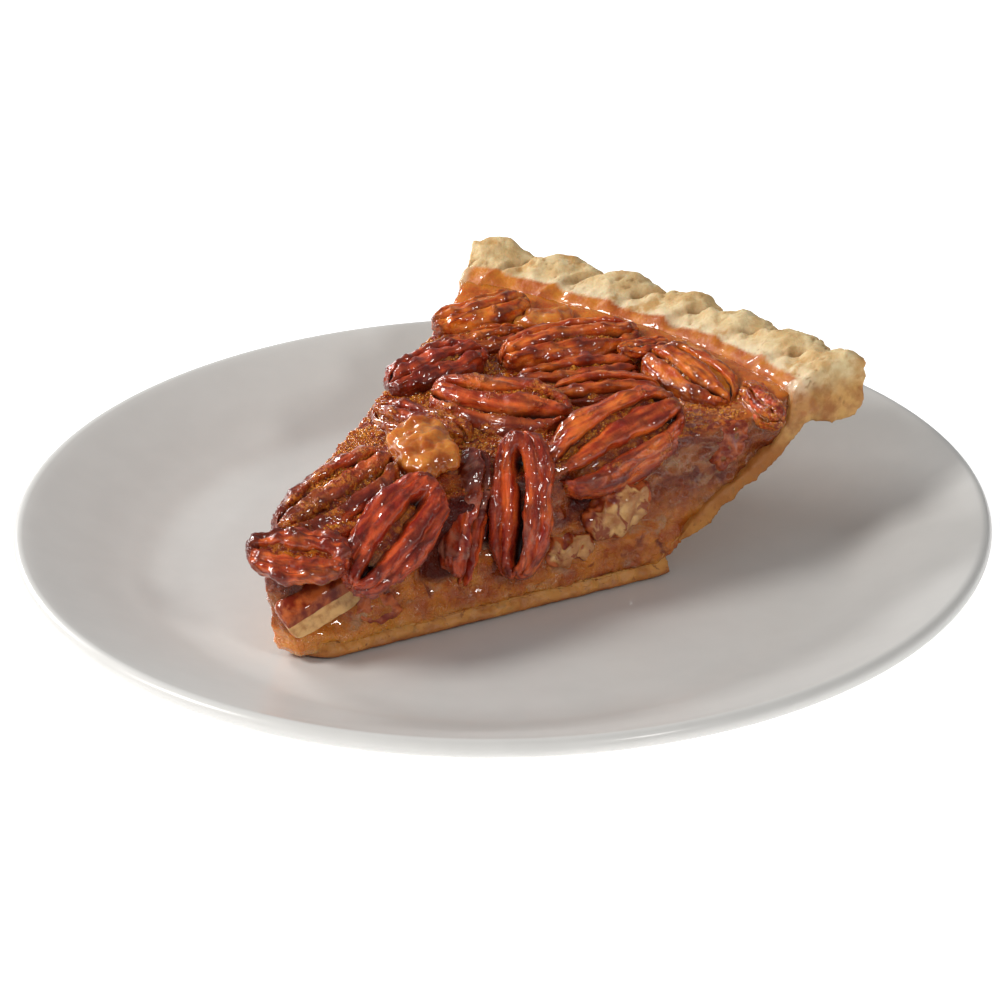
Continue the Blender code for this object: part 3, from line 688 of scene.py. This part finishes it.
chopped, flow, shader = finish("chopped pecan", Roughness=0.4, IOR=1.45, Specular_IOR_Level=0.12, Subsurface_Weight=0.2,
                               Subsurface_Scale=0.002, Coat_Weight=0.9, Coat_Roughness=0.06)
shader.inputs["Subsurface Radius"].default_value = (1.0, 0.4, 0.15)
place = flow.node("TexCoord", out="Object")
flesh = flow.node("Attribute", {"attribute_name": "flesh"}, out="Fac")
crack = flow.node("Attribute", {"attribute_name": "crack"}, out="Fac")
rind = place.fuzz(2.5 * MM, 4).between(0.35, 0.65).over((0.22, 0.022, 0.008), (0.56, 0.13, 0.03))
cream = place.fuzz(2.2 * MM, 4).between(0.32, 0.62).over((0.60, 0.27, 0.085), (0.88, 0.52, 0.20))
cream = (crack * 0.6 + place.fuzz(3.2 * MM, 4, 0.6, 0.8).between(0.52, 0.64) * 0.8).over(cream, (0.34, 0.075, 0.025))
flesh = flesh + 0.5 * place.fuzz(1.5 * MM, 3) - 0.25
feed(flesh.between(0.25, 0.6).over(rind, cream), shader, "Base Color")
feed(flow.node("Bump", {}, {"Strength": 0.5, "Distance": 0.0005, "Height": place.fuzz(0.9 * MM, 4)}), shader, "Normal")

lump, flow, shader = finish("set amber lump", Roughness=0.3, IOR=1.45, Specular_IOR_Level=0.12, Subsurface_Weight=0.5,
                            Subsurface_Scale=0.005, Coat_Weight=1.0, Coat_Roughness=0.04)
shader.inputs["Subsurface Radius"].default_value = (1.0, 0.4, 0.12)
place = flow.node("TexCoord", out="Object")
feed(place.fuzz(4 * MM, 3).between(0.35, 0.65).over((0.42, 0.09, 0.010), (0.70, 0.25, 0.04)), shader, "Base Color")
feed(flow.node("Bump", {}, {"Strength": 0.35, "Distance": 0.0006, "Height": place.fuzz(2 * MM, 2)}), shader, "Normal")

for count, name in enumerate(broken):
    smooth = name in ("pecan_bit_01", "pecan_bit_03")
    wear(make_chunk(name, 3.1 + 1.7 * count), lump if smooth else chopped, name)

# --------------------------------------------------------------------------------------------- sugar froth
# The syrup boils up between the nuts and dries on them as a crust of tiny amber bubbles, mostly in patches.

spots, spot_faces = [], []
for piece in [syrup] + [bpy.data.objects[name + ("_chopped" if name in broken else "_half")] for name in pecans]:
    base = len(spots)
    spots.extend(map(tuple, points_of(piece.data)))
    spot_faces.extend(tuple(base + i for i in face.vertices) for face in piece.data.polygons)
surface = BVHTree.FromPolygons(spots, spot_faces)
syrup_faces = len(syrup.data.polygons)

grain = bmesh.new()
bmesh.ops.create_icosphere(grain, subdivisions=1, radius=1.0)
grain_points = np.array([v.co for v in grain.verts])
grain_faces = np.array([[v.index for v in f.verts] for f in grain.faces])
grain.free()


def strewn(name, count, low, high, patch, seed):
    """Grains scattered over the top of the slice in patches, joined as one piece."""
    pick = np.random.default_rng(seed)
    made_points, made_faces, shades = [], [], []
    tries = 0
    while len(made_faces) < count and tries < 60000:
        tries += 1
        reach = 118 * math.sqrt(pick.uniform(0.0, 1.0)) * MM
        angle = math.radians(pick.uniform(-22, 21.5))
        start = to_slice @ Vector((reach * math.cos(angle), reach * math.sin(angle), 60 * MM))
        hit, normal, face, _ = surface.ray_cast(start, Vector((0, 0, -1)))
        size = pick.uniform(low, high)
        shade = pick.uniform(0, 1)
        if hit is None or normal.z < 0.25 or (hit.z - TIP.z) < 20 * MM:
            continue
        wet = 0.5 if face < syrup_faces else 0.0
        if reach > 112 * MM or noise.fractal(hit / (6.5 * MM), 0.6, 2.0, 3) + wet < patch + 0.25 * (shade - 0.5):
            continue
        turn = np.array(Vector((0, 0, 1)).rotation_difference(normal).to_matrix())
        grow = np.array([pick.uniform(0.8, 1.3), pick.uniform(0.8, 1.3), pick.uniform(0.6, 0.95)]) * size
        made_points.append((grain_points * grow) @ turn.T + np.array(hit))
        made_faces.append(grain_faces + len(grain_points) * len(made_faces))
        shades.append(np.full(len(grain_points), shade))
    piece = mesh_of(name, np.concatenate(made_points), np.concatenate(made_faces).tolist())
    remembered(piece, "shade", np.concatenate(shades))
    return piece


bubbled, flow, shader = finish("dried sugar froth", Roughness=0.3, IOR=1.45, Specular_IOR_Level=0.12,
                               Subsurface_Weight=0.4, Subsurface_Scale=0.001, Coat_Weight=1.0, Coat_Roughness=0.04)
shader.inputs["Subsurface Radius"].default_value = (1.0, 0.4, 0.12)
shade = flow.node("Attribute", {"attribute_name": "shade"}, out="Fac")
feed((shade + 0.6 * flow.node("TexCoord", out="Object").fuzz(3 * MM, 2) - 0.3).between(0.0, 1.0).over(
    (0.40, 0.045, 0.005), (0.92, 0.33, 0.04)), shader, "Base Color")
sugar_froth = strewn("sugar_froth", 5200, 0.11 * MM, 0.36 * MM, 0.38, 11)
wear(sugar_froth, bubbled, None)

# --------------------------------------------------------------------------------------------- studio
# A pale table, one soft light from the left, two small dim ones in front and behind for the sparkle on the glaze, and
# a long lens above the plate.

floor = mesh_of("table", [(-3, -3, -0.0002), (3, -3, -0.0002), (3, 3, -0.0002), (-3, 3, -0.0002)], [(0, 1, 2, 3)])
paper, flow, shader = finish("white paper", Base_Color=(0.93, 0.93, 0.93), Roughness=0.9, Emission_Strength=0.6)
shader.inputs["Emission Color"].default_value = (1.0, 1.0, 1.0, 1.0)
floor.data.materials.append(paper)

world = bpy.data.worlds.new("studio")
world.use_nodes = True
world.node_tree.nodes["Background"].inputs["Color"].default_value = (0.96, 0.98, 1.0, 1.0)
world.node_tree.nodes["Background"].inputs["Strength"].default_value = 0.21
bpy.context.scene.world = world


def softbox(name, place, aim, size, power, colour=(1, 1, 1)):
    light = bpy.data.lights.new(name, "AREA")
    light.shape = "RECTANGLE"
    light.size, light.size_y = size
    light.energy = power
    light.color = colour
    lamp = bpy.data.objects.new(name, light)
    lamp.location = place
    lamp.rotation_euler = (Vector(aim) - Vector(place)).to_track_quat("-Z", "Y").to_euler()
    bpy.context.scene.collection.objects.link(lamp)
    return lamp


softbox("key", (-0.785, -0.130, 0.605), (0, 0, 0.02), (0.28, 0.28), 6.6, (1.0, 0.985, 0.96))
softbox("front_fill", (0.47, -0.72, 0.62), (0, 0, 0.02), (0.15, 0.15), 2.5, (1.0, 0.98, 0.95))
softbox("back_light", (-0.60, 0.66, 0.46), (0, 0, 0.02), (0.34, 0.18), 4.6)

lens = bpy.data.cameras.new("camera")
lens.lens, lens.sensor_width = 173.8, 36.0
camera = bpy.data.objects.new("camera", lens)
bpy.context.scene.collection.objects.link(camera)
sight = Matrix.Rotation(math.radians(90 - 25.67), 4, "X") @ Matrix.Rotation(math.radians(-0.76), 4, "Z")
camera.matrix_world = Matrix.Translation((-0.0002, -0.9027, 0.4532)) @ sight
bpy.context.scene.camera = camera
bpy.context.scene.view_settings.view_transform = "Standard"
